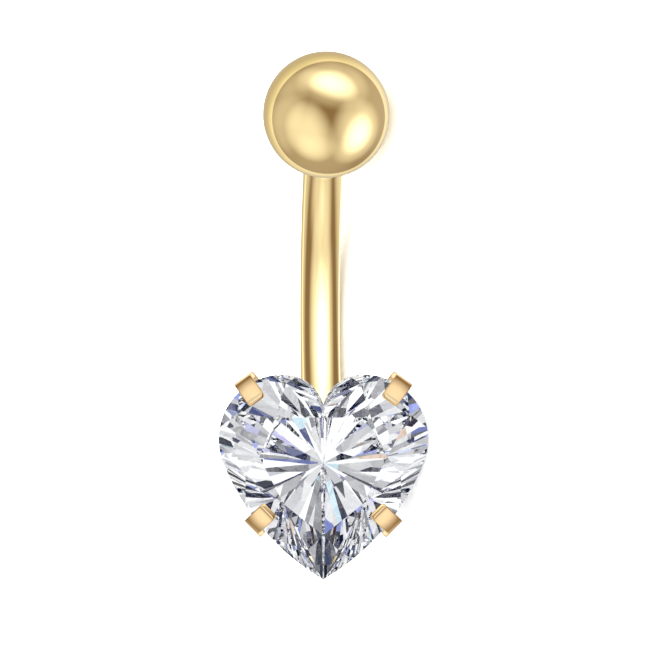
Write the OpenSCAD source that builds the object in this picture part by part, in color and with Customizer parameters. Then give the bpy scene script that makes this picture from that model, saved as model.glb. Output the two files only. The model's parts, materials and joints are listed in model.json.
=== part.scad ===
// Curved navel barbell with a screw-on ball and a heart-cut stone in a four-prong setting.
// It is drawn upright in its own frame, u to the right, v along the bar towards the ball
// and w out of the stone's table, and is then laid on its side as it settles on a surface.

/* [Heart stone] */
// Width over the two lobes
stone_w = 8.1; // [7.2:0.1:9.4]
// Height from the lobes' tops to the tip
stone_h = 7.93; // [7.2:0.01:9]
// Height of the lobes' tops over the culet
lobe_top = 3.46; // [3.2:0.01:3.8]
// Radius of each lobe's outer arc
lobe_r = 2.5; // [2.2:0.05:2.8]
// Depth of the notch under the lobes' tops
notch_d = 1.15; // [0.8:0.05:1.4]
// Radius of the side arcs that run to the tip
side_r = 9.1; // [8:0.1:12]
// Thickness of the girdle
girdle_t = 0.2; // [0.1:0.05:0.4]
// Height of the crown over the girdle
crown_h = 1.1; // [0.8:0.05:1.4]
// Depth of the pavilion under the girdle
pavilion_h = 3.3; // [2.8:0.05:3.8]
// Width of the table
table_w = 4.9; // [4.4:0.05:5.2]

/* [Setting] */
// Width of a prong
prong_w = 0.75; // [0.5:0.05:1]
// Thickness of a prong's flat strip
prong_t = 0.28; // [0.2:0.02:0.36]
// How far a prong's tab reaches over the stone
tab_reach = 0.7; // [0.4:0.05:0.9]
// How much wider a leg is than its tab, on the side towards the stone's axis
leg_step = 0.15; // [0:0.05:0.25]
// How far a leg runs straight down before it slants under the stone
leg_drop = 0.35; // [0.25:0.05:0.6]
// How far the base button behind the stone reaches beyond the bar that it carries, all round
button_rim = 0.3; // [0.25:0.05:0.6]
// How much thicker the base button is than the bar's slanting end inside it, on each face
button_cover = 0.02; // [0.02:0.01:0.2]
// Chamfer round the back of the base button
button_chamfer = 0.2; // [0.1:0.05:0.4]
// Gap between the stone and the metal that holds it
stone_gap = 0.05; // [0.03:0.01:0.1]
// Gap between the culet and the base button
culet_gap = 0.15; // [0.1:0.05:0.4]

/* [Bar] */
// Diameter of the bar
bar_d = 1.6; // [1.4:0.1:2]
// Radius of the bar's bow
bow_r = 11; // [9:0.5:14]
// Angle over which the bar bends
bow_angle = 64; // [50:1:76]
// Angle by which the bow is turned about the long axis
bow_turn = 5; // [0:1:8]
// Diameter of the bar's end pin
pin_d = 1.2; // [0.8:0.1:1.2]
// Length of the end pin
pin_l = 2.2; // [1.5:0.1:2.8]

/* [Top ball] */
// Diameter of the ball
ball_d = 5; // [4:0.1:6]
// Radial clearance of the end pin in the ball's bore
bore_gap = 0.03; // [0.02:0.01:0.08]
// Depth that the bore has beyond the end pin
bore_spare = 0.3; // [0.1:0.1:0.5]
// Gap between the ball's flat and the bar's shoulder
seat_gap = 0.02; // [0.01:0.01:0.05]

/* [Hidden] */
$fn = 64;

gold = "#d9b564";
prong_gold = "#e8bd83";
crystal = "#e6edf2";

// Where a cutting block has to be larger than anything that it cuts.
past_all = 30;

function unit(p) = p / norm(p);
function ray(angle) = [cos(angle), sin(angle)];
function flat(p) = [p.x, p.y];
function arc(centre, radius, from, to, steps) =
    [for (i = [0:steps]) centre + radius * ray(from + (to - from) * i / steps)];

// Half outline of the heart: the arc into the notch, the lobe's arc and the side's arc,
// each tangent to the next, with the culet under the origin.
lobe_u = stone_w / 2 - lobe_r;
flank_r = (lobe_u ^ 2 + notch_d ^ 2) / (2 * notch_d);
flank_c = [lobe_u, lobe_top - flank_r];
lobe_c = [lobe_u, lobe_top - lobe_r];
tip = [0, lobe_top - stone_h];
lobe_to_tip = norm(lobe_c - tip);
side_swing = acos((side_r ^ 2 + lobe_to_tip ^ 2 - (side_r - lobe_r) ^ 2)
                  / (2 * side_r * lobe_to_tip));
side_c = tip + side_r * ray(atan2(lobe_c.y - tip.y, lobe_c.x - tip.x) + side_swing);
notch_angle = atan2(flank_r - notch_d, -lobe_u);
side_angle = atan2(lobe_c.y - side_c.y, lobe_c.x - side_c.x);
tip_angle = atan2(tip.y - side_c.y, tip.x - side_c.x);
half_outline = concat(
    arc(flank_c, flank_r, notch_angle, 90, 10),
    arc(lobe_c, lobe_r, 90, side_angle, 18),
    arc(side_c, side_r, side_angle, tip_angle, 16),
    [tip]);

// The outline's point whose outward normal points along an angle.
function outline_at(angle) =
    angle > 90 ? flank_c + flank_r * ray(angle)
    : angle > side_angle ? lobe_c + lobe_r * ray(angle)
    : angle > tip_angle ? side_c + side_r * ray(angle)
    : tip;

// Heights in the stone, from the middle of the girdle.
girdle = girdle_t / 2;
table = girdle + crown_h;
culet = [0, 0, -girdle - pavilion_h];

// A plane is [outward unit normal, distance from the origin].
function plane_on(normal, point) = [normal, normal * point];
function meet(p, q, r) =
    (p[1] * cross(q[0], r[0]) + q[1] * cross(r[0], p[0]) + r[1] * cross(p[0], q[0]))
    / (p[0] * cross(q[0], r[0]));
function level(w) = [[0, 0, 1], w];

// A facet that touches the outline where its normal points along an angle, on the
// girdle's upper or lower edge, and passes through a point inside the stone.
function facet(angle, through) =
    let (side = through.z > 0 ? 1 : -1,
         edge = outline_at(angle),
         run = ray(angle) * (edge - flat(through)),
         rise = abs(through.z) - girdle,
         slope = atan2(rise, run))
    plane_on([sin(slope) * cos(angle), sin(slope) * sin(angle), side * cos(slope)],
             [edge.x, edge.y, side * girdle]);

// A star facet falls from the table's edge at a share of the slope of the facets round it.
function star(angle, corner) =
    plane_on([sin(star_slope) * cos(angle), sin(star_slope) * sin(angle), cos(star_slope)],
             corner);

// Crown: the main facets' angles and the table's corners that they meet, from the notch
// to the tip, as shares of half the table's width and of the heights over and under the culet.
crown_angles = [118, 56, 2, -40, -90];
corner_across = [0, 0.75, 1, 0.73, 0];
corner_up = [0.526, 0.526, 0.087, -0.37, -0.604];
corners = [for (i = [0:4])
    [corner_across[i] * table_w / 2,
     corner_up[i] * (corner_up[i] > 0 ? lobe_top : -tip.y),
     table]];
crown_mains = [for (i = [0:4]) facet(crown_angles[i], corners[i])];
star_share = 0.7;
star_slope = star_share * acos(crown_mains[1][0].z);
stars = [for (i = [0:3])
    let (edge = corners[i + 1] - corners[i])
    star(atan2(edge.x, -edge.y), corners[i])];
star_tips = [for (i = [0:3]) meet(crown_mains[i], crown_mains[i + 1], stars[i])];

// Facets between the mains: the row's angles touch the outline between mains i and i + 1.
between = [[100, 76], [40, 18], [-14, -28], [-47, -55]];
crown_smalls = [for (i = [0:3], a = between[i]) facet(a, star_tips[i])];

// Steep facets that fall into the notch from a point just beyond the table's edge, which
// lies this share of the way from the culet to that edge.
notch_share = 1.08;
notch_floor = meet(crown_mains[0], [[1, 0, 0], 0], [[0, 1, 0], corners[0].y * notch_share]);
notch_crown = [for (a = [140, 158]) facet(a, notch_floor)];

// Pavilion: mains from the girdle to the culet, and pairs between them that stop short of it.
pavilion_angles = [160, 118, 56, 2, -40, -90];
lower_share = 0.8;
pavilion_mains = [for (a = pavilion_angles) facet(a, culet)];
pavilion_pairs = concat([[146, 130]], between);
pavilion_smalls = [for (i = [0:4], a = pavilion_pairs[i])
    facet(a, meet(pavilion_mains[i], pavilion_mains[i + 1],
                  level(-girdle - pavilion_h * lower_share)))];

facets = concat([level(table)], crown_mains, stars, crown_smalls, notch_crown,
                pavilion_mains, pavilion_smalls);

// A large block whose underside lies on a plane, so that it removes what is beyond it.
module beyond(plane) {
    n = plane[0];
    rotate([0, acos(n.z), atan2(n.y, n.x)])
        translate([-past_all / 2, -past_all / 2, plane[1]])
            cube(past_all);
}

// Half of the stone, cut by one facet after another.
module half_cut(count) {
    if (count == 0)
        translate([0, 0, culet.z - girdle])
            linear_extrude(table - culet.z + 2 * girdle) polygon(half_outline);
    else
        difference() {
            half_cut(count - 1);
            beyond(facets[count - 1]);
        }
}

module heart_stone_upright() {
    half_cut(len(facets));
    mirror([1, 0, 0]) half_cut(len(facets));
}

// Base button and bar's bow. The bow leaves the button's middle, bends back from the
// stone and comes forward again to the ball.
bow_half = bow_angle / 2;
button_r = bar_d / 2 + button_rim;
button_t = bar_d * cos(bow_half) + 2 * button_cover;
button_top = culet.z - culet_gap;
button_mid = button_top - button_t / 2;
bow_back = [-sin(bow_turn), 0, -cos(bow_turn)];
bar_from = [0, 0, button_mid];
bow_c = bar_from + [0, bow_r * sin(bow_half), 0] - bow_r * cos(bow_half) * bow_back;
end_dir = cos(bow_half) * [0, 1, 0] - sin(bow_half) * bow_back;
shoulder = bow_c + bow_r * (cos(bow_half) * bow_back + sin(bow_half) * [0, 1, 0]);
ball_r = ball_d / 2;
flat_at = sqrt(ball_r ^ 2 - (bar_d / 2) ^ 2);
ball_c = shoulder + (flat_at + seat_gap) * end_dir;

// Turns a module's own z axis onto the bar's end direction, which is where the ball screws off.
module along_end(at) {
    translate(at)
        rotate([0, acos(end_dir.z), atan2(end_dir.y, end_dir.x)]) children();
}

module bar_upright() {
    translate(bow_c)
        rotate([0, bow_turn, 0])
            rotate([0, 90, 0]) rotate([0, 0, -bow_half])
                rotate_extrude(angle = bow_angle) translate([bow_r, 0]) circle(bar_d / 2);
    along_end(shoulder) translate([0, 0, -pin_l / 2]) cylinder(d = pin_d, h = 1.5 * pin_l);
}

// Prongs, upper and lower: where each crosses the outline, how far it is turned from the
// outline's normal there, the crown facet that its tab lies on, and whether the side that
// faces the stone's axis is its left one. A leg ends a little before the stone's axis.
prong_at = [55.6, -38.2];
prong_turn = [-2, -6];
prong_facet = [1, 3];
inner_is_left = [true, false];
leg_end = 0.2;

// A prong is a flat strip, bent over the girdle. Its inner line goes from the tab's end over
// two bends to the base button, in distances outwards from the girdle and heights.
function strip_line(i) =
    let (slope = acos(crown_mains[prong_facet[i]][0].z),
         reach = outline_at(prong_at[i]) * ray(prong_at[i] + prong_turn[i]),
         over = girdle + stone_gap / cos(slope))
    [[-tab_reach, over + tab_reach * tan(slope)],
     [stone_gap, over - stone_gap * tan(slope)],
     [stone_gap, -girdle - leg_drop],
     [leg_end - reach, button_mid]];

// The strip's section: the inner line, and back along its outer face, rounded at each bend.
function strip_outline(line) =
    let (last = len(line) - 1,
         turns = [for (k = [0:last - 1])
             let (step = line[k + 1] - line[k]) atan2(step.x, -step.y)])
    concat(
        line,
        [for (k = [last:-1:0])
            let (before = turns[min(k, last - 1)], after = turns[max(k - 1, 0)])
            each arc(line[k], prong_t, before, after, before == after ? 1 : 6)]);

module prong(i) {
    line = strip_line(i);
    leg = [for (k = [1:3]) line[k]];
    at = outline_at(prong_at[i]);
    translate([at.x, at.y, 0])
        rotate(prong_at[i] + prong_turn[i])
            rotate([90, 0, 0]) {
                translate([0, 0, -prong_w / 2])
                    linear_extrude(prong_w) polygon(strip_outline(line));
                translate([0, 0, inner_is_left[i] ? -prong_w / 2 - leg_step : 0])
                    linear_extrude(prong_w / 2 + leg_step) polygon(strip_outline(leg));
            }
}

module setting_upright() {
    translate([0, 0, button_top - button_t + button_chamfer])
        cylinder(r = button_r, h = button_t - button_chamfer);
    translate([0, 0, button_top - button_t])
        cylinder(r1 = button_r - button_chamfer, r2 = button_r, h = button_chamfer);
    for (i = [0:1]) {
        prong(i);
        mirror([1, 0, 0]) prong(i);
    }
}

module ball_upright() {
    difference() {
        translate(ball_c) sphere(ball_r);
        along_end(ball_c) translate([0, 0, -flat_at - ball_d]) cylinder(d = ball_d, h = ball_d);
        along_end(ball_c) translate([0, 0, -ball_r])
            cylinder(d = pin_d + 2 * bore_gap, h = ball_r - flat_at + pin_l + bore_spare);
    }
}

// How it lies by itself: on the ball, on the bar's bent back and on the edge of the girdle's
// right-hand lobe. The downward direction is found from the plane through the three points
// that reach lowest, again and again from a first guess until it no longer changes.
function down_from(d) =
    let (on_ball = ball_c + ball_r * d,
         in_bow = (d * bow_back) * bow_back + d.y * [0, 1, 0],
         on_bar = bow_c + bow_r * unit(in_bow) + bar_d / 2 * d,
         on_lobe = lobe_c + lobe_r * unit(flat(d)),
         on_girdle = [on_lobe.x, on_lobe.y, -girdle],
         n = unit(cross(on_bar - on_ball, on_girdle - on_ball)))
    n * d < 0 ? -n : n;
function settle(d, times) = times == 0 ? d : settle(down_from(d), times - 1);
first_guess = [cos(30), 0, -sin(30)];

down = settle(first_guess, 20);
rest_z = -down;
rest_x = unit([0, 1, 0] + down.y * rest_z);
rest_y = cross(rest_z, rest_x);

// Its length runs from the heart's tip to the ball, its breadth from the table's widest
// corner to the bar's bent back, and it stands on what the ball stands on.
length_span = [rest_x * [tip.x, tip.y, girdle], rest_x * ball_c + ball_r];
breadth_span = [rest_y * corners[2],
                rest_y * bow_c + bow_r * norm([rest_y * bow_back, rest_y.y]) + bar_d / 2];
ground = rest_z * ball_c - ball_r;

module laid() {
    multmatrix([concat(rest_x, -(length_span[0] + length_span[1]) / 2),
                concat(rest_y, -(breadth_span[0] + breadth_span[1]) / 2),
                concat(rest_z, -ground)])
        children();
}

module top_ball() { color(gold) laid() ball_upright(); }
module bar_and_setting() {
    color(gold) laid() bar_upright();
    color(prong_gold) laid() setting_upright();
}
module heart_stone() { color(crystal) laid() heart_stone_upright(); }

top_ball();
bar_and_setting();
heart_stone();
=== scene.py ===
# A curved navel barbell with a screw-on ball and a heart-cut stone in a four-prong setting.
# It lies on its side on a pale floor. Its own axes are u, to the right over the stone's face,
# v, along the bar towards the ball, and w, out of the stone's table.
import itertools
import json
import math

import bmesh
import bpy
import numpy as np
from mathutils import Matrix, Vector


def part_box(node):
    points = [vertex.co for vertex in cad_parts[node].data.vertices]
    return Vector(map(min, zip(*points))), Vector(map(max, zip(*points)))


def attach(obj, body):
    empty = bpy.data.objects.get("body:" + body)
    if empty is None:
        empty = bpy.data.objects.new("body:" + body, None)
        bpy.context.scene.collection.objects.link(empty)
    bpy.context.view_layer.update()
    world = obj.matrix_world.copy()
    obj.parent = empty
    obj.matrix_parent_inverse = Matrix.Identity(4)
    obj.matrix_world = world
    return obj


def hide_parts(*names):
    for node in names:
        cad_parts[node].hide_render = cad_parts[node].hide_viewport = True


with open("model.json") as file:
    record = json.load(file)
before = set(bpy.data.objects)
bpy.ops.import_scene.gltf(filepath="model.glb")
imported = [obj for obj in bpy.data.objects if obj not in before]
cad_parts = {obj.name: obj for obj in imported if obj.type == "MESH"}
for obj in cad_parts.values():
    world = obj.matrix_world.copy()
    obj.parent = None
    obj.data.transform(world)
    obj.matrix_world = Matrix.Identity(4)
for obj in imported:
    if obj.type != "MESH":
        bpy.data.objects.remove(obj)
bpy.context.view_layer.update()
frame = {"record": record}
MM = 0.001

# Sizes of the part, in millimetres and degrees, as in its source. The stone:
STONE_W = 8.1
STONE_H = 7.93
LOBE_TOP = 3.46
LOBE_R = 2.5
NOTCH_D = 1.15
SIDE_R = 9.1
GIRDLE_T = 0.2
CROWN_H = 1.1
PAVILION_H = 3.3
TABLE_W = 4.9
# The prongs, each a tab on the crown and a leg behind it:
PRONG_W = 0.75
PRONG_T = 0.28
TAB_REACH = 0.7
LEG_STEP = 0.15
LEG_DROP = 0.35
LEG_END = 0.2
# The round button behind the stone, and the gaps round the stone:
BUTTON_RIM = 0.3
BUTTON_COVER = 0.02
BUTTON_CHAMFER = 0.2
STONE_GAP = 0.05
CULET_GAP = 0.15
# The bar with its bow and its end pin:
BAR_D = 1.6
BOW_R = 11.0
BOW_ANGLE = 64.0
BOW_TURN = 5.0
PIN_D = 1.2
PIN_L = 2.2
# The ball with its bore:
BALL_D = 5.0
BORE_GAP = 0.03
BORE_SPARE = 0.3
SEAT_GAP = 0.02

BAR_R = BAR_D / 2
BALL_R = BALL_D / 2
BOW_HALF = math.radians(BOW_ANGLE / 2)
GIRDLE = GIRDLE_T / 2
LEG_W = PRONG_W / 2 + LEG_STEP
BUTTON_R = BAR_R + BUTTON_RIM
BUTTON_T = BAR_D * math.cos(BOW_HALF) + 2 * BUTTON_COVER
BUTTON_TOP = -GIRDLE - PAVILION_H - CULET_GAP
BUTTON_MID = BUTTON_TOP - BUTTON_T / 2
BUTTON_BACK = BUTTON_TOP - BUTTON_T
FLAT_AT = math.sqrt(BALL_R ** 2 - BAR_R ** 2)

# Sides of the round pieces, and steps along the bow
BALL_SIDES = 144
BUTTON_SIDES = 72
BAR_SIDES = 72
PIN_SIDES = 48
BOW_STEPS = 96


def own_axes():
    """The part's own axes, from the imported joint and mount: the joint runs along the bar's
    end, and the mount along v."""
    record = frame["record"]
    v = Vector(record["mounts"][0]["axis"]).normalized()
    end = Vector(record["behaviour"]["joints"][0]["axis"]).normalized()
    bow_front = ((end - v * math.cos(BOW_HALF)) / math.sin(BOW_HALF)).normalized()
    side = v.cross(bow_front)
    turn = math.radians(BOW_TURN)
    u = side * math.cos(turn) + bow_front * math.sin(turn)
    w = bow_front * math.cos(turn) - side * math.sin(turn)
    return u, v, w, end, bow_front


def placing(x, y, z, origin):
    """The matrix that takes millimetres along three axes to their place in the scene."""
    turn = Matrix((x, y, z)).transposed().to_4x4()
    return Matrix.Translation(origin) @ turn @ Matrix.Scale(MM, 4)


# From the ball's middle back to the bar's shoulder, the middle of its bow, and the stone
U, V, W, END, BOW_FRONT = own_axes()
ball_low, ball_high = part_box("top_ball")
BALL_C = (Vector(ball_low) + Vector(ball_high)) / 2
SHOULDER = BALL_C - END * (FLAT_AT + SEAT_GAP) * MM
TO_END = V * math.sin(BOW_HALF) - BOW_FRONT * math.cos(BOW_HALF)
TO_START = -V * math.sin(BOW_HALF) - BOW_FRONT * math.cos(BOW_HALF)
BOW_C = SHOULDER - TO_END * BOW_R * MM
CENTRE = BOW_C + TO_START * BOW_R * MM - W * BUTTON_MID * MM
ACROSS_END = END.cross(V).normalized()

OWN = placing(U, V, W, CENTRE)
IN_BOW = placing(V, BOW_FRONT, V.cross(BOW_FRONT), BOW_C)
ALONG_END = placing(ACROSS_END, END.cross(ACROSS_END), END, BALL_C)

# Camera at the photo's angle: straight at the stone's table, with the ball at the top. The
# middle of its view, the view's span and its distance are in millimetres on the own axes.
VIEW_MID = (0.26, 5.18)
VIEW_SPAN = 25.53
VIEW_FROM = 145.0
SENSOR = 36.0


def camera_at_table():
    data = bpy.data.cameras.new("camera")
    data.sensor_width = SENSOR
    data.lens = SENSOR * VIEW_FROM / VIEW_SPAN
    data.clip_start = MM
    data.clip_end = 5.0
    camera = bpy.data.objects.new("camera", data)
    bpy.context.scene.collection.objects.link(camera)
    turn = Matrix((U, V, W)).transposed().to_4x4()
    camera.matrix_world = Matrix.Translation(OWN @ Vector((*VIEW_MID, VIEW_FROM))) @ turn
    bpy.context.scene.camera = camera


camera_at_table()


def hex_colour(code):
    """An sRGB hex colour as linear RGBA."""
    parts = [int(code[i:i + 2], 16) / 255 for i in (1, 3, 5)]
    return [p / 12.92 if p <= 0.04045 else ((p + 0.055) / 1.055) ** 2.4 for p in parts] + [1.0]


def add_node(tree, kind, values=None):
    """Adds a node. values holds its properties first, and then its inputs by name or number:
    an input takes a number, or a link from a node's first output or from the output given."""
    node = tree.nodes.new(kind)
    for key, value in (values or {}).items():
        if isinstance(value, bpy.types.Node):
            value = value.outputs[0]
        if isinstance(value, bpy.types.NodeSocket):
            tree.links.new(value, node.inputs[key])
        elif isinstance(key, str) and hasattr(node, key):
            setattr(node, key, value)
        else:
            node.inputs[key].default_value = value
    return node


def eased(value, start, stop, low, high):
    """What a Map Range node needs to turn a value smoothly from low, at start, to high, at
    stop."""
    return {"interpolation_type": "SMOOTHSTEP", 0: value, 1: start, 2: stop, 3: low, 4: high}


def new_material(name):
    material = bpy.data.materials.new(name)
    material.use_nodes = True
    material.node_tree.nodes.clear()
    return material, material.node_tree


# Real sizes on the gold, in millimetres: patches of gloss, hairlines and waves. Real hairlines
# are finer, and these are as coarse as they need to be to show.
CLOUD_MM = 1.5
HAIRLINE_MM = 0.08
HAIRLINE_STRETCH = (0.08, 1.0, 1.0)
WAVE_MM = 1.2
WAVE_HEIGHT = 0.0016
# The patches times the hairlines, from where to where they count, and the shares of the mean
# roughness that they spread it over
GLOSS_FROM, GLOSS_TO = 0.1, 0.42
GLOSS_LEAST, GLOSS_MOST = 0.7, 1.5


def per_metre(size):
    """The Scale of a pattern whose features are a size in millimetres."""
    return 1000 / size


def polished_gold(name, code, roughness):
    """Gold plate buffed to a mirror: a gloss that varies softly, hairlines left by the mop,
    and the slight waviness of tumbled metal, which bends its reflections a little."""
    material, tree = new_material(name)
    place = add_node(tree, "ShaderNodeTexCoord").outputs["Object"]
    along = add_node(tree, "ShaderNodeMapping", {"Vector": place, "Scale": HAIRLINE_STRETCH})
    cloud = add_node(tree, "ShaderNodeTexNoise", {
        "Vector": place, "Scale": per_metre(CLOUD_MM), "Detail": 3.0})
    hairs = add_node(tree, "ShaderNodeTexNoise", {
        "Vector": along, "Scale": per_metre(HAIRLINE_MM), "Detail": 2.0})
    both = add_node(tree, "ShaderNodeMath", {"operation": "MULTIPLY", 0: cloud, 1: hairs})
    gloss = add_node(tree, "ShaderNodeMapRange", {
        0: both, 1: GLOSS_FROM, 2: GLOSS_TO, 3: roughness * GLOSS_LEAST,
        4: roughness * GLOSS_MOST})
    waves = add_node(tree, "ShaderNodeTexNoise", {
        "Vector": place, "Scale": per_metre(WAVE_MM), "Detail": 1.0})
    bump = add_node(tree, "ShaderNodeBump", {
        "Strength": 1.0, "Distance": WAVE_HEIGHT * MM, "Height": waves})
    shader = add_node(tree, "ShaderNodeBsdfPrincipled", {
        "Base Color": hex_colour(code), "Metallic": 1.0, "Roughness": gloss, "Normal": bump})
    add_node(tree, "ShaderNodeOutputMaterial", {"Surface": shader})
    return material


ZIRCONIA_IOR = 2.15


def cut_stone(name):
    """Cubic zirconia: clear and without haze, and its high index breaks what lies round it
    into sharp shards. The softly polished gold beside it doesn't mirror it, as in the photo."""
    material, tree = new_material(name)
    shader = add_node(tree, "ShaderNodeBsdfGlass", {
        "Color": hex_colour("#ffffff"), "Roughness": 0.0, "IOR": ZIRCONIA_IOR})
    unseen = add_node(tree, "ShaderNodeBsdfTransparent")
    rays = add_node(tree, "ShaderNodeLightPath").outputs
    in_mirrors = add_node(tree, "ShaderNodeMixShader", {
        0: rays["Is Singular Ray"], 1: unseen, 2: shader})
    either = add_node(tree, "ShaderNodeMixShader", {
        0: rays["Is Glossy Ray"], 1: shader, 2: in_mirrors})
    add_node(tree, "ShaderNodeOutputMaterial", {"Surface": either})
    return material


def keep(name, mesh, material, body, node):
    """Makes a finished mesh a piece of one material, on a body and in place of a CAD node."""
    mesh.name = name
    mesh.materials.clear()
    mesh.materials.append(material)
    mesh.polygons.foreach_set("material_index", [0] * len(mesh.polygons))
    piece = bpy.data.objects.new(name, mesh)
    bpy.context.scene.collection.objects.link(piece)
    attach(piece, body)
    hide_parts(node)
    return piece


SHARP = math.radians(32)


def smooth(mesh):
    """Smooth shading, with the edges that turn sharply kept crisp."""
    mesh.polygons.foreach_set("use_smooth", [True] * len(mesh.polygons))
    mesh.set_sharp_from_angle(angle=SHARP)


def turned(profile, sides, matrix):
    """A closed solid turned round z from a profile of (radius, height) that starts and ends
    on the axis."""
    shape = bmesh.new()
    rings = []
    for radius, height in profile:
        if radius == 0:
            rings.append([shape.verts.new((0, 0, height))] * sides)
        else:
            rings.append([shape.verts.new((radius * math.cos(2 * math.pi * i / sides),
                                           radius * math.sin(2 * math.pi * i / sides),
                                           height)) for i in range(sides)])
    for low, high in zip(rings, rings[1:]):
        for i in range(sides):
            j = (i + 1) % sides
            corners = [low[i], low[j], high[j], high[i]]
            shape.faces.new(list(dict.fromkeys(corners)))
    bmesh.ops.recalc_face_normals(shape, faces=shape.faces)
    mesh = bpy.data.meshes.new("turned")
    shape.to_mesh(mesh)
    shape.free()
    mesh.transform(matrix)
    smooth(mesh)
    return mesh


# The rounding of the flat's edge: its width, the point that it passes, as shares of that
# width in from the edge and up from the flat, and where the sphere begins, in degrees
FLAT_ROUND = 0.06
FLAT_ROUND_IN = 0.3
FLAT_ROUND_UP = 0.12
SPHERE_FROM = 1.5


def ball_mesh():
    """The ball: a plain blind bore, a flat at the bar's shoulder with a softened edge, and
    the sphere."""
    bore_r = PIN_D / 2 + BORE_GAP
    bore_end = -FLAT_AT + PIN_L + BORE_SPARE
    start = SPHERE_FROM - math.degrees(math.acos(BAR_R / BALL_R))
    steps = BALL_SIDES // 2
    angles = [math.radians(start + (90 - start) * i / steps) for i in range(steps)]
    return turned([
        (0, bore_end), (bore_r, bore_end), (bore_r, -FLAT_AT), (BAR_R - FLAT_ROUND, -FLAT_AT),
        (BAR_R - FLAT_ROUND * FLAT_ROUND_IN, -FLAT_AT + FLAT_ROUND * FLAT_ROUND_UP),
        *((BALL_R * math.cos(a), BALL_R * math.sin(a)) for a in angles),
        (0, BALL_R)], BALL_SIDES, ALONG_END)


def ray(angle):
    """The unit vector at an angle in degrees."""
    return Vector((math.cos(math.radians(angle)), math.sin(math.radians(angle))))


def angle_of(step):
    return math.degrees(math.atan2(step.y, step.x))


# Outline of the stone's right half: the flank's arc out of the notch, the lobe's arc, and the
# side's arc to the tip
LOBE_U = STONE_W / 2 - LOBE_R
FLANK_R = (LOBE_U ** 2 + NOTCH_D ** 2) / (2 * NOTCH_D)
FLANK_C = Vector((LOBE_U, LOBE_TOP - FLANK_R))
LOBE_C = Vector((LOBE_U, LOBE_TOP - LOBE_R))
TIP = Vector((0, LOBE_TOP - STONE_H))
LOBE_TO_TIP = (LOBE_C - TIP).length
SIDE_SWING = math.degrees(math.acos((SIDE_R ** 2 + LOBE_TO_TIP ** 2 - (SIDE_R - LOBE_R) ** 2)
                                    / (2 * SIDE_R * LOBE_TO_TIP)))
SIDE_C = TIP + SIDE_R * ray(angle_of(LOBE_C - TIP) + SIDE_SWING)
# Where the outward normal points at the ends of the arcs, in degrees. An angle just over the
# top's is still on the flank.
NOTCH_ANGLE = math.degrees(math.atan2(FLANK_R - NOTCH_D, -LOBE_U))
TOP_ANGLE = 90
JUST_OVER = 0.01
SIDE_ANGLE = angle_of(LOBE_C - SIDE_C)
TIP_ANGLE = angle_of(TIP - SIDE_C)
FLANK_STEPS = 10
LOBE_STEPS = 18
SIDE_STEPS = 16


def outline_at(angle):
    """The outline's point whose outward normal points along an angle."""
    if angle > TOP_ANGLE:
        return FLANK_C + FLANK_R * ray(angle)
    if angle > SIDE_ANGLE:
        return LOBE_C + LOBE_R * ray(angle)
    if angle > TIP_ANGLE:
        return SIDE_C + SIDE_R * ray(angle)
    return TIP.copy()


def half_outline():
    """Points on the outline's right half, from the notch to the tip."""
    flank = TOP_ANGLE + JUST_OVER - NOTCH_ANGLE
    lobe = SIDE_ANGLE - TOP_ANGLE
    side = TIP_ANGLE - SIDE_ANGLE
    angles = [NOTCH_ANGLE + flank * i / FLANK_STEPS for i in range(FLANK_STEPS + 1)]
    angles += [TOP_ANGLE + lobe * i / LOBE_STEPS for i in range(1, LOBE_STEPS + 1)]
    angles += [SIDE_ANGLE + side * i / SIDE_STEPS for i in range(1, SIDE_STEPS)]
    return [outline_at(a) for a in angles] + [TIP]


# The stone is cut by planes, each an outward unit normal and a distance from the origin.
TABLE = GIRDLE + CROWN_H
CULET = Vector((0, 0, -GIRDLE - PAVILION_H))
MIDDLE_PLANE = (Vector((1, 0, 0)), 0.0)


def plane_on(normal, point):
    return normal, normal.dot(point)


def meet(p, q, r):
    """The point that three planes share."""
    return ((p[1] * q[0].cross(r[0]) + q[1] * r[0].cross(p[0]) + r[1] * p[0].cross(q[0]))
            / p[0].dot(q[0].cross(r[0])))


def facet(angle, through):
    """A facet that touches the outline where its normal points along an angle, on the
    girdle's edge, and passes through a point inside the stone."""
    side = 1 if through.z > 0 else -1
    edge = outline_at(angle)
    slope = math.atan2(abs(through.z) - GIRDLE, ray(angle).dot(edge - through.xy))
    out = ray(angle) * math.sin(slope)
    normal = Vector((out.x, out.y, side * math.cos(slope)))
    return plane_on(normal, Vector((edge.x, edge.y, side * GIRDLE)))


# Crown: the main facets' angles and the table's corners that they meet, from the notch to
# the tip, as shares of half the table's width and of the heights over and under the culet.
CROWN_ANGLES = (118, 56, 2, -40, -90)
CORNER_ACROSS = (0, 0.75, 1, 0.62, 0)
CORNER_UP = (0.526, 0.526, 0.087, -0.335, -0.604)
CORNERS = [Vector((across * TABLE_W / 2, up * (LOBE_TOP if up > 0 else -TIP.y), TABLE))
           for across, up in zip(CORNER_ACROSS, CORNER_UP)]
CROWN_MAINS = [facet(a, c) for a, c in zip(CROWN_ANGLES, CORNERS)]
# Stars slope from the table's edges at a share of the mains' slope. Small facets in pairs run
# from the girdle to each star's tip, and two more to a point in the notch, which lies this
# share as high as the table's corner there.
STAR_SHARE = 0.7
STAR_PAIRS = ((100, 76), (40, 18), (-14, -28), (-47, -55))
NOTCH_PAIR = (140, 158)
NOTCH_SHARE = 1.08
# Pavilion: the angles of the facets that run from the girdle to the culet, and pairs between
# them, at these shares of the way, that stop short of it at a share of the depth
PAVILION_ANGLES = (150, 115, 80, 45, 10, -20, -45, -90)
LOWER_PAIR = (0.3, 0.7)
LOWER_SHARE = 0.8


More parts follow.
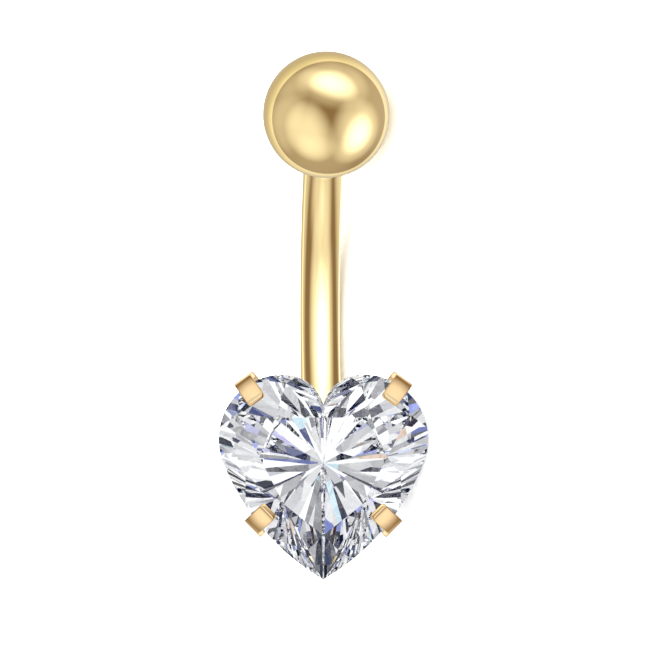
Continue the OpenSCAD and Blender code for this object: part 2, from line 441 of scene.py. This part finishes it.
def stone_facets():
    star_slope = STAR_SHARE * math.acos(CROWN_MAINS[1][0].z)
    stars = []
    for a, b in zip(CORNERS, CORNERS[1:]):
        out = Vector(((a - b).y, (b - a).x)).normalized() * math.sin(star_slope)
        stars.append(plane_on(Vector((out.x, out.y, math.cos(star_slope))), a))
    smalls = []
    for i, pair in enumerate(STAR_PAIRS):
        star_tip = meet(CROWN_MAINS[i], CROWN_MAINS[i + 1], stars[i])
        smalls += [facet(a, star_tip) for a in pair]
    notch_level = (Vector((0, 1, 0)), CORNERS[0].y * NOTCH_SHARE)
    notch_floor = meet(CROWN_MAINS[0], MIDDLE_PLANE, notch_level)
    smalls += [facet(a, notch_floor) for a in NOTCH_PAIR]
    mains = [facet(a, CULET) for a in PAVILION_ANGLES]
    level = (Vector((0, 0, 1)), -GIRDLE - PAVILION_H * LOWER_SHARE)
    lowers = []
    for i, (a, b) in enumerate(zip(PAVILION_ANGLES, PAVILION_ANGLES[1:])):
        shared = meet(mains[i], mains[i + 1], level)
        lowers += [facet(a + (b - a) * share, shared) for share in LOWER_PAIR]
    return [(Vector((0, 0, 1)), TABLE)] + CROWN_MAINS + stars + smalls + mains + lowers


# How near a corner is to the planes that it lies on, how near two points are that are one
# corner or lie on the middle plane, and the angle under which two faces are one
ON_PLANE = 1e-5
ONE_CORNER = 0.002
ON_MIDDLE = 1e-3
ONE_FACE = math.radians(0.3)


def corners_of(planes):
    """The corners of the convex solid that lies inside a list of planes."""
    normals = np.array([tuple(p[0]) for p in planes])
    distances = np.array([p[1] for p in planes])
    triples = np.array(list(itertools.combinations(range(len(planes)), 3)))
    sets = normals[triples]
    crossing = np.abs(np.linalg.det(sets)) > ON_PLANE
    points = np.linalg.solve(sets[crossing], distances[triples[crossing]][..., None])[..., 0]
    for normal, distance in zip(normals, distances):
        points = points[points @ normal < distance + ON_PLANE]
    return np.unique(points.round(4), axis=0)


def stone_mesh():
    """Half of the stone inside its facets and its outline, and its mirror image, fused on
    the middle plane."""
    outline = half_outline()
    planes = stone_facets() + [(-MIDDLE_PLANE[0], 0.0)]
    for a, b in zip(outline, outline[1:]):
        planes.append(plane_on(Vector((a.y - b.y, b.x - a.x, 0)).normalized(), Vector((*a, 0))))
    shape = bmesh.new()
    for point in corners_of(planes):
        shape.verts.new(point)
    bmesh.ops.remove_doubles(shape, verts=shape.verts, dist=ONE_CORNER)
    bmesh.ops.convex_hull(shape, input=shape.verts)
    bmesh.ops.dissolve_limit(shape, angle_limit=ONE_FACE, verts=shape.verts, edges=shape.edges)
    middle = [f for f in shape.faces if all(abs(v.co.x) < ON_MIDDLE for v in f.verts)]
    bmesh.ops.delete(shape, geom=middle, context="FACES_ONLY")
    both = bmesh.ops.duplicate(shape, geom=shape.verts[:] + shape.edges[:] + shape.faces[:])
    for item in both["geom"]:
        if isinstance(item, bmesh.types.BMVert):
            item.co.x *= -1
    bmesh.ops.remove_doubles(shape, verts=shape.verts, dist=ON_MIDDLE)
    bmesh.ops.recalc_face_normals(shape, faces=shape.faces)
    mesh = bpy.data.meshes.new("cut stone")
    shape.to_mesh(mesh)
    shape.free()
    mesh.transform(OWN)
    return mesh


# Prongs, upper and lower: where each crosses the outline, how far it is turned from the
# outline's normal there, the crown facet under its tab, and the side of its wider leg.
PRONGS = ((55.6, -2, 1, 1), (-38.2, -6, 3, -1))
# What polishing leaves of a tab's straight lines: how high it is domed, in how many steps,
# the share of its length at either end that the dome leaves straight, how much longer it is,
# and the rounding of its corners
TAB_DOME = 0.045
TAB_STEPS = 16
TAB_FLAT = 0.16
TAB_LONGER = 0.1
TAB_CORNER = 0.14


def prong_line(at, turn, seat):
    """A prong's inner line, as distances outwards from the girdle and heights."""
    slope = math.acos(CROWN_MAINS[seat][0].z)
    reach = outline_at(at).dot(ray(at + turn))
    over = GIRDLE + STONE_GAP / math.cos(slope)
    return [(-TAB_REACH, over + TAB_REACH * math.tan(slope)),
            (STONE_GAP, over - STONE_GAP * math.tan(slope)),
            (STONE_GAP, -GIRDLE - LEG_DROP),
            (LEG_END - reach, BUTTON_MID)]


def outer(line, by):
    """A line moved outwards by a distance, with mitred corners."""
    points = [Vector(p) for p in line]
    steps = [(b - a).normalized() for a, b in zip(points, points[1:])]
    out = []
    for i, point in enumerate(points):
        before, after = steps[max(i - 1, 0)], steps[min(i, len(steps) - 1)]
        normals = [Vector((-s.y, s.x)) for s in (before, after)]
        out.append(point + by * (normals[0] + normals[1]) / (1 + normals[0].dot(normals[1])))
    return out


def domed(line):
    """A tab's line with its first part raised to a slight dome, straight at both ends, where
    its corners and its bend are rounded."""
    corner = line[1]
    end = line[0] + (line[0] - corner).normalized() * TAB_LONGER
    rise = Vector((-(corner - end).y, (corner - end).x)).normalized() * 4 * TAB_DOME
    shares = [0] + [TAB_FLAT + (1 - 2 * TAB_FLAT) * k / TAB_STEPS for k in range(TAB_STEPS + 1)]
    return [end.lerp(corner, f) + rise * f * (1 - f) for f in shares] + line[1:]


def strip_lines(part, shift):
    """Middle lines of four strips as an edge mesh, each with the direction of its width.
    part picks the corners of a prong's line, and shift moves it towards the side of its
    wider leg."""
    verts, edges, sides = [], [], []
    for at, turn, seat, lean in PRONGS:
        line = outer(prong_line(at, turn, seat), PRONG_T / 2)[part]
        if part.start == 0:
            line = domed(line)
        start = outline_at(at)
        out = ray(at + turn)
        across = Vector((-out.y, out.x)) * lean
        for hand in (1, -1):
            for k, (o, h) in enumerate(line):
                place = start + out * o + across * shift
                verts.append((place.x * hand, place.y, h))
                sides.append((across.x * hand, across.y, 0))
                if k:
                    edges.append((len(verts) - 2, len(verts) - 1))
    mesh = bpy.data.meshes.new("strip lines")
    mesh.from_pydata(verts, edges, [])
    width = mesh.attributes.new("across", "FLOAT_VECTOR", "POINT")
    for item, side in zip(width.data, sides):
        item.vector = side
    return mesh


def node_group(name, labels):
    """A Geometry Nodes tree with a geometry going in and out, and a material and named sizes
    going in."""
    tree = bpy.data.node_groups.new(name, "GeometryNodeTree")
    tree.interface.new_socket("Geometry", in_out="INPUT", socket_type="NodeSocketGeometry")
    tree.interface.new_socket("Geometry", in_out="OUTPUT", socket_type="NodeSocketGeometry")
    tree.interface.new_socket("Material", in_out="INPUT", socket_type="NodeSocketMaterial")
    for label in labels:
        tree.interface.new_socket(label, in_out="INPUT", socket_type="NodeSocketFloat")
    return tree, add_node(tree, "NodeGroupInput").outputs


def end_tree(tree, shape, material):
    real = add_node(tree, "GeometryNodeRealizeInstances", {0: shape})
    dressed = add_node(tree, "GeometryNodeSetMaterial", {"Geometry": real, "Material": material})
    add_node(tree, "NodeGroupOutput", {0: dressed})
    return tree


BEND_STEPS = 8


def strip_tree():
    """Flat strips along lines, with rounded bends."""
    tree, put = node_group("prong strips", ("Width", "Thickness", "Bend radius"))
    line = add_node(tree, "GeometryNodeMeshToCurve", {0: put["Geometry"]})
    bend = add_node(tree, "GeometryNodeFilletCurve", {
        "mode": "POLY", "Curve": line, "Count": BEND_STEPS, "Radius": put["Bend radius"]})
    across = add_node(tree, "GeometryNodeInputNamedAttribute", {
        "data_type": "FLOAT_VECTOR", "Name": "across"})
    face = add_node(tree, "GeometryNodeSetCurveNormal", {
        "mode": "FREE", "Curve": bend, "Normal": across})
    section = add_node(tree, "GeometryNodeCurvePrimitiveQuadrilateral", {
        "mode": "RECTANGLE", "Width": put["Width"], "Height": put["Thickness"]})
    strip = add_node(tree, "GeometryNodeCurveToMesh", {
        "Curve": face, "Profile Curve": section, "Fill Caps": True})
    return end_tree(tree, strip, put["Material"])


def bar_tree():
    """The bowed bar and its end pin, from the bow's middle."""
    tree, put = node_group("bowed bar", (
        "Bar diameter", "Bow radius", "Bow angle", "Pin diameter", "Pin length"))
    half, bar_r, pin_r = (
        add_node(tree, "ShaderNodeMath", {"operation": "MULTIPLY", 0: put[label], 1: 0.5})
        for label in ("Bow angle", "Bar diameter", "Pin diameter"))
    start = add_node(tree, "ShaderNodeMath", {
        "operation": "SUBTRACT", 0: -math.pi / 2, 1: half})
    bow = add_node(tree, "GeometryNodeCurveArc", {
        "mode": "RADIUS", "Resolution": BOW_STEPS + 1, "Radius": put["Bow radius"],
        "Start Angle": start, "Sweep Angle": put["Bow angle"]})
    wire = add_node(tree, "GeometryNodeCurvePrimitiveCircle", {
        "Resolution": BAR_SIDES, "Radius": bar_r})
    bar = add_node(tree, "GeometryNodeCurveToMesh", {
        "Curve": bow, "Profile Curve": wire, "Fill Caps": True})
    sine = add_node(tree, "ShaderNodeMath", {"operation": "SINE", 0: half})
    cosine = add_node(tree, "ShaderNodeMath", {"operation": "COSINE", 0: half})
    down = add_node(tree, "ShaderNodeMath", {"operation": "MULTIPLY", 0: cosine, 1: -1.0})
    across, drop = (
        add_node(tree, "ShaderNodeMath", {"operation": "MULTIPLY", 0: put["Bow radius"], 1: by})
        for by in (sine, down))
    end = add_node(tree, "ShaderNodeCombineXYZ", {0: across, 1: drop})
    heading = add_node(tree, "ShaderNodeCombineXYZ", {0: cosine, 1: sine})
    line = add_node(tree, "GeometryNodeCurvePrimitiveLine", {
        "mode": "DIRECTION", "Start": end, "Direction": heading, "Length": put["Pin length"]})
    rod = add_node(tree, "GeometryNodeCurvePrimitiveCircle", {
        "Resolution": PIN_SIDES, "Radius": pin_r})
    pin = add_node(tree, "GeometryNodeCurveToMesh", {
        "Curve": line, "Profile Curve": rod, "Fill Caps": True})
    both = add_node(tree, "GeometryNodeJoinGeometry", {0: pin})
    tree.links.new(bar.outputs[0], both.inputs[0])
    return end_tree(tree, both, put["Material"])


def modified(mesh, kind, settings):
    """The plain mesh that a modifier makes of a mesh. settings holds the modifier's
    properties, and its tree's inputs by identifier."""
    holder = bpy.data.objects.new("holder", mesh)
    bpy.context.scene.collection.objects.link(holder)
    modifier = holder.modifiers.new("shape", kind)
    for key, value in settings.items():
        if hasattr(modifier, key):
            setattr(modifier, key, value)
        else:
            modifier[key] = value
    ready = holder.evaluated_get(bpy.context.evaluated_depsgraph_get())
    result = bpy.data.meshes.new_from_object(ready)
    holder.modifiers.remove(modifier)
    bpy.data.objects.remove(holder)
    return result


def grown(base, tree, values, matrix):
    """The mesh that a tree makes of a base mesh and its values by name, put in its place."""
    identifiers = {item.name: item.identifier for item in tree.interface.items_tree
                   if item.in_out == "INPUT"}
    inputs = {identifiers[label]: value for label, value in values.items()}
    mesh = modified(base, "NODES", {"node_group": tree, **inputs})
    mesh.transform(matrix)
    return mesh


# How far polishing has rounded the edges, in millimetres, with the steps of a rounding, the
# gap under which points are merged first, and how closely a corner's edge is as long as a
# strip is thick
BAR_ROUND = 0.06
TAB_ROUND = 0.04
LEG_ROUND = 0.05
BUTTON_ROUND = 0.05
EDGE_STEPS = 3
CORNER_STEPS = 4
MERGED_UNDER = 0.008
AS_LONG = 0.02


def bevelled(mesh, width, corner=0.0):
    """A mesh with its crisp edges rounded over a width in millimetres, and a strip's corners,
    which are as long as it is thick, over a larger one first."""
    shape = bmesh.new()
    shape.from_mesh(mesh)
    bmesh.ops.remove_doubles(shape, verts=shape.verts, dist=MERGED_UNDER * MM)
    bmesh.ops.recalc_face_normals(shape, faces=shape.faces)

    def crisp():
        return [e for e in shape.edges if e.is_manifold and e.calc_face_angle() > SHARP]

    def round_over(edges, over, steps):
        bmesh.ops.bevel(shape, geom=edges, offset=over * MM, segments=steps, profile=0.5,
                        affect="EDGES", clamp_overlap=True)

    if corner:
        ends = [e for e in crisp() if abs(e.calc_length() - PRONG_T * MM) < AS_LONG * MM]
        round_over(ends, corner, CORNER_STEPS)
    round_over(crisp(), width, EDGE_STEPS)
    shape.to_mesh(mesh)
    shape.free()
    smooth(mesh)
    return mesh


def joined(*meshes):
    """Several meshes as one, whose normals follow its larger faces, so that only its rounded
    edges turn."""
    shape = bmesh.new()
    for mesh in meshes:
        shape.from_mesh(mesh)
    whole = bpy.data.meshes.new("joined")
    shape.to_mesh(whole)
    shape.free()
    smooth(whole)
    return modified(whole, "WEIGHTED_NORMAL", {"keep_sharp": True})


YELLOW_GOLD = "#f9df9f"
ROSY_GOLD = "#f7d49b"
# The mean roughness of the ball and bar, and of the prongs, which a mop reaches less well
MIRROR_POLISH = 0.06
SOFT_POLISH = 0.1
gold = polished_gold("polished gold plate", YELLOW_GOLD, MIRROR_POLISH)
wire_gold = polished_gold("round-buffed gold plate", YELLOW_GOLD, MIRROR_POLISH)
prong_gold = polished_gold("rosy gold plate", ROSY_GOLD, SOFT_POLISH)
stone = cut_stone("clear stone")

polished_ball = keep("polished_ball", ball_mesh(), gold, "ball", "top_ball")

bow = grown(bpy.data.meshes.new("start"), bar_tree(), {
    "Material": wire_gold, "Bar diameter": BAR_D, "Bow radius": BOW_R,
    "Bow angle": 2 * BOW_HALF, "Pin diameter": PIN_D, "Pin length": PIN_L}, IN_BOW)
bowed_bar = keep("bowed_bar", bevelled(bow, BAR_ROUND), wire_gold, "barbell",
                 "bar_and_setting")

strips = strip_tree()
inputs = {"Material": prong_gold, "Width": PRONG_W, "Thickness": PRONG_T,
          "Bend radius": PRONG_T / 2}
tabs = grown(strip_lines(slice(0, 3), 0), strips, inputs, OWN)
inputs["Width"] = LEG_W
legs = grown(strip_lines(slice(1, 4), LEG_W / 2), strips, inputs, OWN)
button = turned([(0, BUTTON_TOP), (BUTTON_R, BUTTON_TOP),
                 (BUTTON_R, BUTTON_BACK + BUTTON_CHAMFER),
                 (BUTTON_R - BUTTON_CHAMFER, BUTTON_BACK), (0, BUTTON_BACK)], BUTTON_SIDES, OWN)
setting = joined(bevelled(tabs, TAB_ROUND, TAB_CORNER), bevelled(legs, LEG_ROUND),
                 bevelled(button, BUTTON_ROUND))
prong_setting = keep("prong_setting", setting, prong_gold, "barbell",
                     "bar_and_setting")

keep("cut_heart", stone_mesh(), stone, "barbell", "heart_stone")

FLOOR_SIZE = 4.0
FLOOR_UNDER = 0.01


def pale_floor():
    """Matt white card, just under what lies on it."""
    material, tree = new_material("pale floor")
    shader = add_node(tree, "ShaderNodeBsdfPrincipled", {
        "Base Color": hex_colour("#fafafa"), "Roughness": 0.9, "Specular IOR Level": 0.1})
    add_node(tree, "ShaderNodeOutputMaterial", {"Surface": shader})
    bpy.ops.mesh.primitive_plane_add(size=FLOOR_SIZE, location=(0, 0, -FLOOR_UNDER * MM))
    floor = bpy.context.object
    floor.name = "floor"
    floor.data.materials.append(material)
    return floor


# The gold doesn't mirror the bar, the setting or the floor, and the stone shows none of them.
for item in (bowed_bar, prong_setting, pale_floor()):
    item.visible_glossy = False
    item.visible_transmission = False


def direction(from_w, around):
    """A direction at an angle from w, turned round it from u towards v, in degrees."""
    a, b = math.radians(from_w), math.radians(around)
    return W * math.cos(a) + (U * math.cos(b) + V * math.sin(b)) * math.sin(a)


# Soft boxes, each for the piece that it is turned on: angle from the camera's side, angle
# round it, half its breadth and half its length in degrees, its brightness, and how far its
# length is turned
BALL_BOXES = (
    (57, 74, 45, 35, 1.27, -90), (75, -33, 33, 38, 1.26, 32), (65, 77, 60, 62, 0.51, 20),
    (70, -30, 53, 62, 0.76, 52), (51, 228, 50, 62, 0.84, -42), (86, 180, 60, 42, 0.48, 44),
    (112, 9, 60, 62, 0.3, 53), (76, 117, 60, 30, 0.39, 46), (102, 259, 60, 62, 0.24, -90))
BAR_BOXES = (
    (19, 52, 51, 43, 1.46, -50), (48, 36, 59, 44, 0.85, -84), (38, -52, 44, 62, 0.77, 44),
    (114, 199, 28, 63, 0.52, 12), (140, -63, 55, 63, 0.99, 33), (24, 147, 50, 60, 0.98, 19),
    (57, -119, 46, 27, 0.68, -55))
PRONG_BOXES = (
    (64, 52, 24, 40, 0.9, 0), (64, 128, 24, 40, 0.9, 0), (76, -46, 24, 40, 0.95, 0),
    (76, -134, 24, 40, 0.95, 0), (0, 0, 62, 62, 1.3, 0), (118, -90, 25, 62, 0.8, 0),
    (118, 90, 25, 62, 0.8, 0))
BOX_FROM = 160 * MM
LAMP_TINT = (0.9, 1.0, 1.18, 1)
# A lamp's glow from its edge, at 1, to near its middle
LAMP_FADE = (1.0, 0.1, 0.0, 1.0)
# The room's walls, which light the metal alone and show between its boxes
WALLS = (0.24, 0.165, 0.09, 1)
# The middle of the visible bar, in millimetres on the own axes
BAR_MIDDLE = (0, 6, -5)
# What an area lamp of one watt over one square metre shows as
WATT_SHOWS = 0.3013


def lamp_at(aimed_at, aim, broad, halves, pieces, colour, brightness, fading):
    """An area lamp turned on a point, from BOX_FROM along aim, that only its pieces mirror.
    It shows as colour times brightness, and a fading one dims from near its middle to its
    edge, as a soft box does."""
    length = aim.cross(broad)
    place = aimed_at + aim * BOX_FROM
    data = bpy.data.lights.new("lamp", "AREA")
    data.shape = "RECTANGLE"
    data.size, data.size_y = (2 * h for h in halves)
    data.energy = brightness * data.size * data.size_y / WATT_SHOWS
    data.use_nodes = True
    tree = data.node_tree
    tree.nodes.clear()
    glow = add_node(tree, "ShaderNodeEmission", {"Color": colour})
    if fading:
        point = add_node(tree, "ShaderNodeNewGeometry").outputs["Position"]
        offset = add_node(tree, "ShaderNodeVectorMath", {
            "operation": "SUBTRACT", 0: point, 1: place})
        across, up = (
            add_node(tree, "ShaderNodeVectorMath", {
                "operation": "DOT_PRODUCT", 0: offset, 1: axis / half}).outputs["Value"]
            for axis, half in zip((broad, length), halves))
        flat = add_node(tree, "ShaderNodeCombineXYZ", {0: across, 1: up})
        away = add_node(tree, "ShaderNodeVectorMath", {"operation": "LENGTH", 0: flat})
        fade = add_node(tree, "ShaderNodeMapRange", eased(away.outputs["Value"], *LAMP_FADE))
        tree.links.new(fade.outputs[0], glow.inputs["Strength"])
    add_node(tree, "ShaderNodeOutputLight", {0: glow})
    lamp = bpy.data.objects.new("lamp", data)
    bpy.context.scene.collection.objects.link(lamp)
    turn = Matrix((broad, length, aim)).transposed().to_4x4()
    lamp.matrix_world = Matrix.Translation(place) @ turn
    lamp.visible_camera = False
    lit = bpy.data.collections.new("lit")
    for piece in pieces:
        lit.objects.link(piece)
    lamp.light_linking.receiver_collection = lit


for aimed_at, piece, boxes in (
        (BALL_C, polished_ball, BALL_BOXES), (OWN @ Vector(BAR_MIDDLE), bowed_bar, BAR_BOXES),
        (CENTRE, prong_setting, PRONG_BOXES)):
    for from_w, around, half_broad, half_long, brightness, twist in boxes:
        aim = direction(from_w, around)
        broad = Matrix.Rotation(math.radians(twist), 3, aim) @ direction(from_w + 90, around)
        halves = [BOX_FROM * math.tan(math.radians(a)) for a in (half_broad, half_long)]
        lamp_at(aimed_at, aim, broad, halves, [piece], LAMP_TINT, brightness, True)
for aim, broad in ((U, V), (V, W), (W, U)):
    for side in (1, -1):
        lamp_at(CENTRE, aim * side, broad, (BOX_FROM, BOX_FROM),
                (polished_ball, bowed_bar, prong_setting), WALLS, 1.0, False)

# What the metal mirrors beyond its lamps: a faint sheen, and a pale screen behind the part.
# The screen's aim is two angles, and its edge and its middle each go from an angle off that
# aim to a smaller one, and from a share of its colour to another.
SHEEN = (0.03, 0.035, 0.05, 1)
SCREEN = (0.62, 0.675, 0.63, 1)
SCREEN_AIM = (162, 122)
SCREEN_EDGE = (56, 54.5, 0.0, 1.0)
SCREEN_MIDDLE = (52, 20, 1.0, 0.55)


def metal_sees(tree, look):
    towards = add_node(tree, "ShaderNodeVectorMath", {
        "operation": "DOT_PRODUCT", 0: look, 1: direction(*SCREEN_AIM)}).outputs["Value"]
    edge, middle = (
        add_node(tree, "ShaderNodeMapRange", eased(
            towards, math.cos(math.radians(start)), math.cos(math.radians(stop)), low, high))
        for start, stop, low, high in (SCREEN_EDGE, SCREEN_MIDDLE))
    screen = add_node(tree, "ShaderNodeMath", {"operation": "MULTIPLY", 0: edge, 1: middle})
    return add_node(tree, "ShaderNodeMix", {
        "data_type": "RGBA", 0: screen, 6: SHEEN, 7: SCREEN}).outputs[2]


# What the stone's rays find: small windows of many tones. A window's tone is picked at random
# over a spread from a base, and shaded towards the ball and behind the part, each as two
# shares of a direction and the shade at either.
WINDOW_SCALE = 10.0
WINDOW_LAYOUT = (0.3, -1.1, 1.5)
TONE_BASE = 0.31
TONE_SPREAD = 0.7
SHADED_UP = (0.0, 0.42, 0.0, 0.25)
SHADED_BEHIND = (0.1, -0.3, 0.0, 0.1)
# Dark flags among them, for the facets by the tip and along the flanks: how far along u to
# both sides, how far along v, and their size, all as shares of a direction, with the shade
# that they give and the softness of their edges
FLAGS = ((0.38, 0.28, 0.09), (0.58, 0.76, 0.11), (0.64, 0.57, 0.07), (0.05, -0.3, 0.09),
         (0.68, -0.23, 0.07), (0.33, 0.63, 0.08), (0.78, -0.17, 0.06), (0.27, -0.15, 0.05),
         (0.66, -0.74, 0.13), (0.63, -0.41, 0.07), (0.78, 0.53, 0.06), (0.88, 0.38, 0.06))
FLAG_SHADE = 0.65
FLAG_SOFT = 0.15
# The grey that a tone shows as from each step up, and how that grey leans to blue
GREYS = ((0.0, 0.0), (0.12, 0.03), (0.22, 0.08), (0.3, 0.2), (0.34, 0.38), (0.4, 0.57),
         (0.48, 0.78), (0.6, 1.0), (0.73, 1.35))
LESS_RED = 0.99
MORE_GREEN, MORE_BLUE = 0.005, 0.025
# A few windows are tinted, the dark ones more often: a random hue, raised by a lift and
# lowered by a share of the tone, takes the tint of the last step that it reaches
HUE_LIFT = 0.3
HUE_BY_TONE = 0.5
TINTS = ((0.0, (1, 1, 1)), (0.86, (0.55, 0.66, 1.3)), (0.9, (0.8, 1.03, 1.12)),
         (0.95, (0.82, 0.8, 1.18)), (0.985, (1.2, 0.9, 0.68)), (1.0, (0.5, 0.6, 1.3)))


def stone_sees(tree, look):
    along_u, along_v, along_w = (
        add_node(tree, "ShaderNodeVectorMath", {
            "operation": "DOT_PRODUCT", 0: look, 1: axis}).outputs["Value"]
        for axis in (U, V, W))
    moved = add_node(tree, "ShaderNodeVectorMath", {
        "operation": "ADD", 0: look, 1: WINDOW_LAYOUT})
    cells = add_node(tree, "ShaderNodeTexVoronoi", {
        "Vector": moved, "Scale": WINDOW_SCALE, "Randomness": 1.0})
    picks = add_node(tree, "ShaderNodeSeparateColor", {0: cells.outputs["Color"]}).outputs
    shade = add_node(tree, "ShaderNodeMapRange", eased(along_v, *SHADED_UP))
    either_side = add_node(tree, "ShaderNodeMath", {"operation": "ABSOLUTE", 0: along_u})
    place = add_node(tree, "ShaderNodeCombineXYZ", {0: either_side, 1: along_v})
    for u, v, size in FLAGS:
        away = add_node(tree, "ShaderNodeVectorMath", {
            "operation": "DISTANCE", 0: place, 1: (u, v, 0)}).outputs["Value"]
        flag = add_node(tree, "ShaderNodeMapRange", eased(
            away, size * (1 + FLAG_SOFT), size * (1 - FLAG_SOFT), 0.0, FLAG_SHADE))
        shade = add_node(tree, "ShaderNodeMath", {"operation": "MAXIMUM", 0: shade, 1: flag})
    behind = add_node(tree, "ShaderNodeMapRange", eased(along_w, *SHADED_BEHIND))
    shade = add_node(tree, "ShaderNodeMath", {"operation": "ADD", 0: shade, 1: behind})
    spread = add_node(tree, "ShaderNodeMath", {
        "operation": "MULTIPLY", 0: picks[0], 1: TONE_SPREAD})
    bright = add_node(tree, "ShaderNodeMath", {"operation": "ADD", 0: spread, 1: TONE_BASE})
    tone = add_node(tree, "ShaderNodeMath", {"operation": "SUBTRACT", 0: bright, 1: shade})
    lifted = add_node(tree, "ShaderNodeMath", {"operation": "ADD", 0: picks[1], 1: HUE_LIFT})
    lowered = add_node(tree, "ShaderNodeMath", {"operation": "MULTIPLY", 0: tone, 1: HUE_BY_TONE})
    hue = add_node(tree, "ShaderNodeMath", {"operation": "SUBTRACT", 0: lifted, 1: lowered})
    greys = [(at, (grey * LESS_RED, grey + MORE_GREEN, grey + MORE_BLUE)) for at, grey in GREYS]
    shown = []
    for value, steps in ((tone, greys), (hue, TINTS)):
        ramp = add_node(tree, "ShaderNodeValToRGB", {0: value})
        shown.append(ramp)
        bar = ramp.color_ramp
        bar.interpolation = "CONSTANT"
        while len(bar.elements) < len(steps):
            bar.elements.new(0.5)
        for item, (at, colour) in zip(bar.elements, steps):
            item.position = at
            item.color = (*colour, 1)
    return add_node(tree, "ShaderNodeVectorMath", {
        "operation": "MULTIPLY", 0: shown[0], 1: shown[1]})


# What the camera and the floor see all round
WHITE_ROOM = (3.2, 3.2, 3.2, 1)


def studio():
    """The studio's light, as each of the camera, the floor, the metal and the stone sees it."""
    world = bpy.data.worlds.new("studio")
    bpy.context.scene.world = world
    world.use_nodes = True
    tree = world.node_tree
    tree.nodes.clear()
    look = add_node(tree, "ShaderNodeTexCoord").outputs["Generated"]
    rays = add_node(tree, "ShaderNodeLightPath").outputs
    seen = add_node(tree, "ShaderNodeMix", {
        "data_type": "RGBA", 0: rays["Is Transmission Ray"], 6: metal_sees(tree, look),
        7: stone_sees(tree, look)}).outputs[2]
    plain = add_node(tree, "ShaderNodeMath", {
        "operation": "MAXIMUM", 0: rays["Is Camera Ray"], 1: rays["Is Diffuse Ray"]})
    seen = add_node(tree, "ShaderNodeMix", {
        "data_type": "RGBA", 0: plain, 6: seen, 7: WHITE_ROOM}).outputs[2]
    light = add_node(tree, "ShaderNodeBackground", {"Color": seen, "Strength": 1.0})
    add_node(tree, "ShaderNodeOutputWorld", {"Surface": light})


studio()
cycles = bpy.context.scene.cycles
cycles.max_bounces = 24
cycles.glossy_bounces = 20
cycles.transmission_bounces = 24
view = bpy.context.scene.view_settings
view.view_transform = "Standard"
view.exposure = 0.0
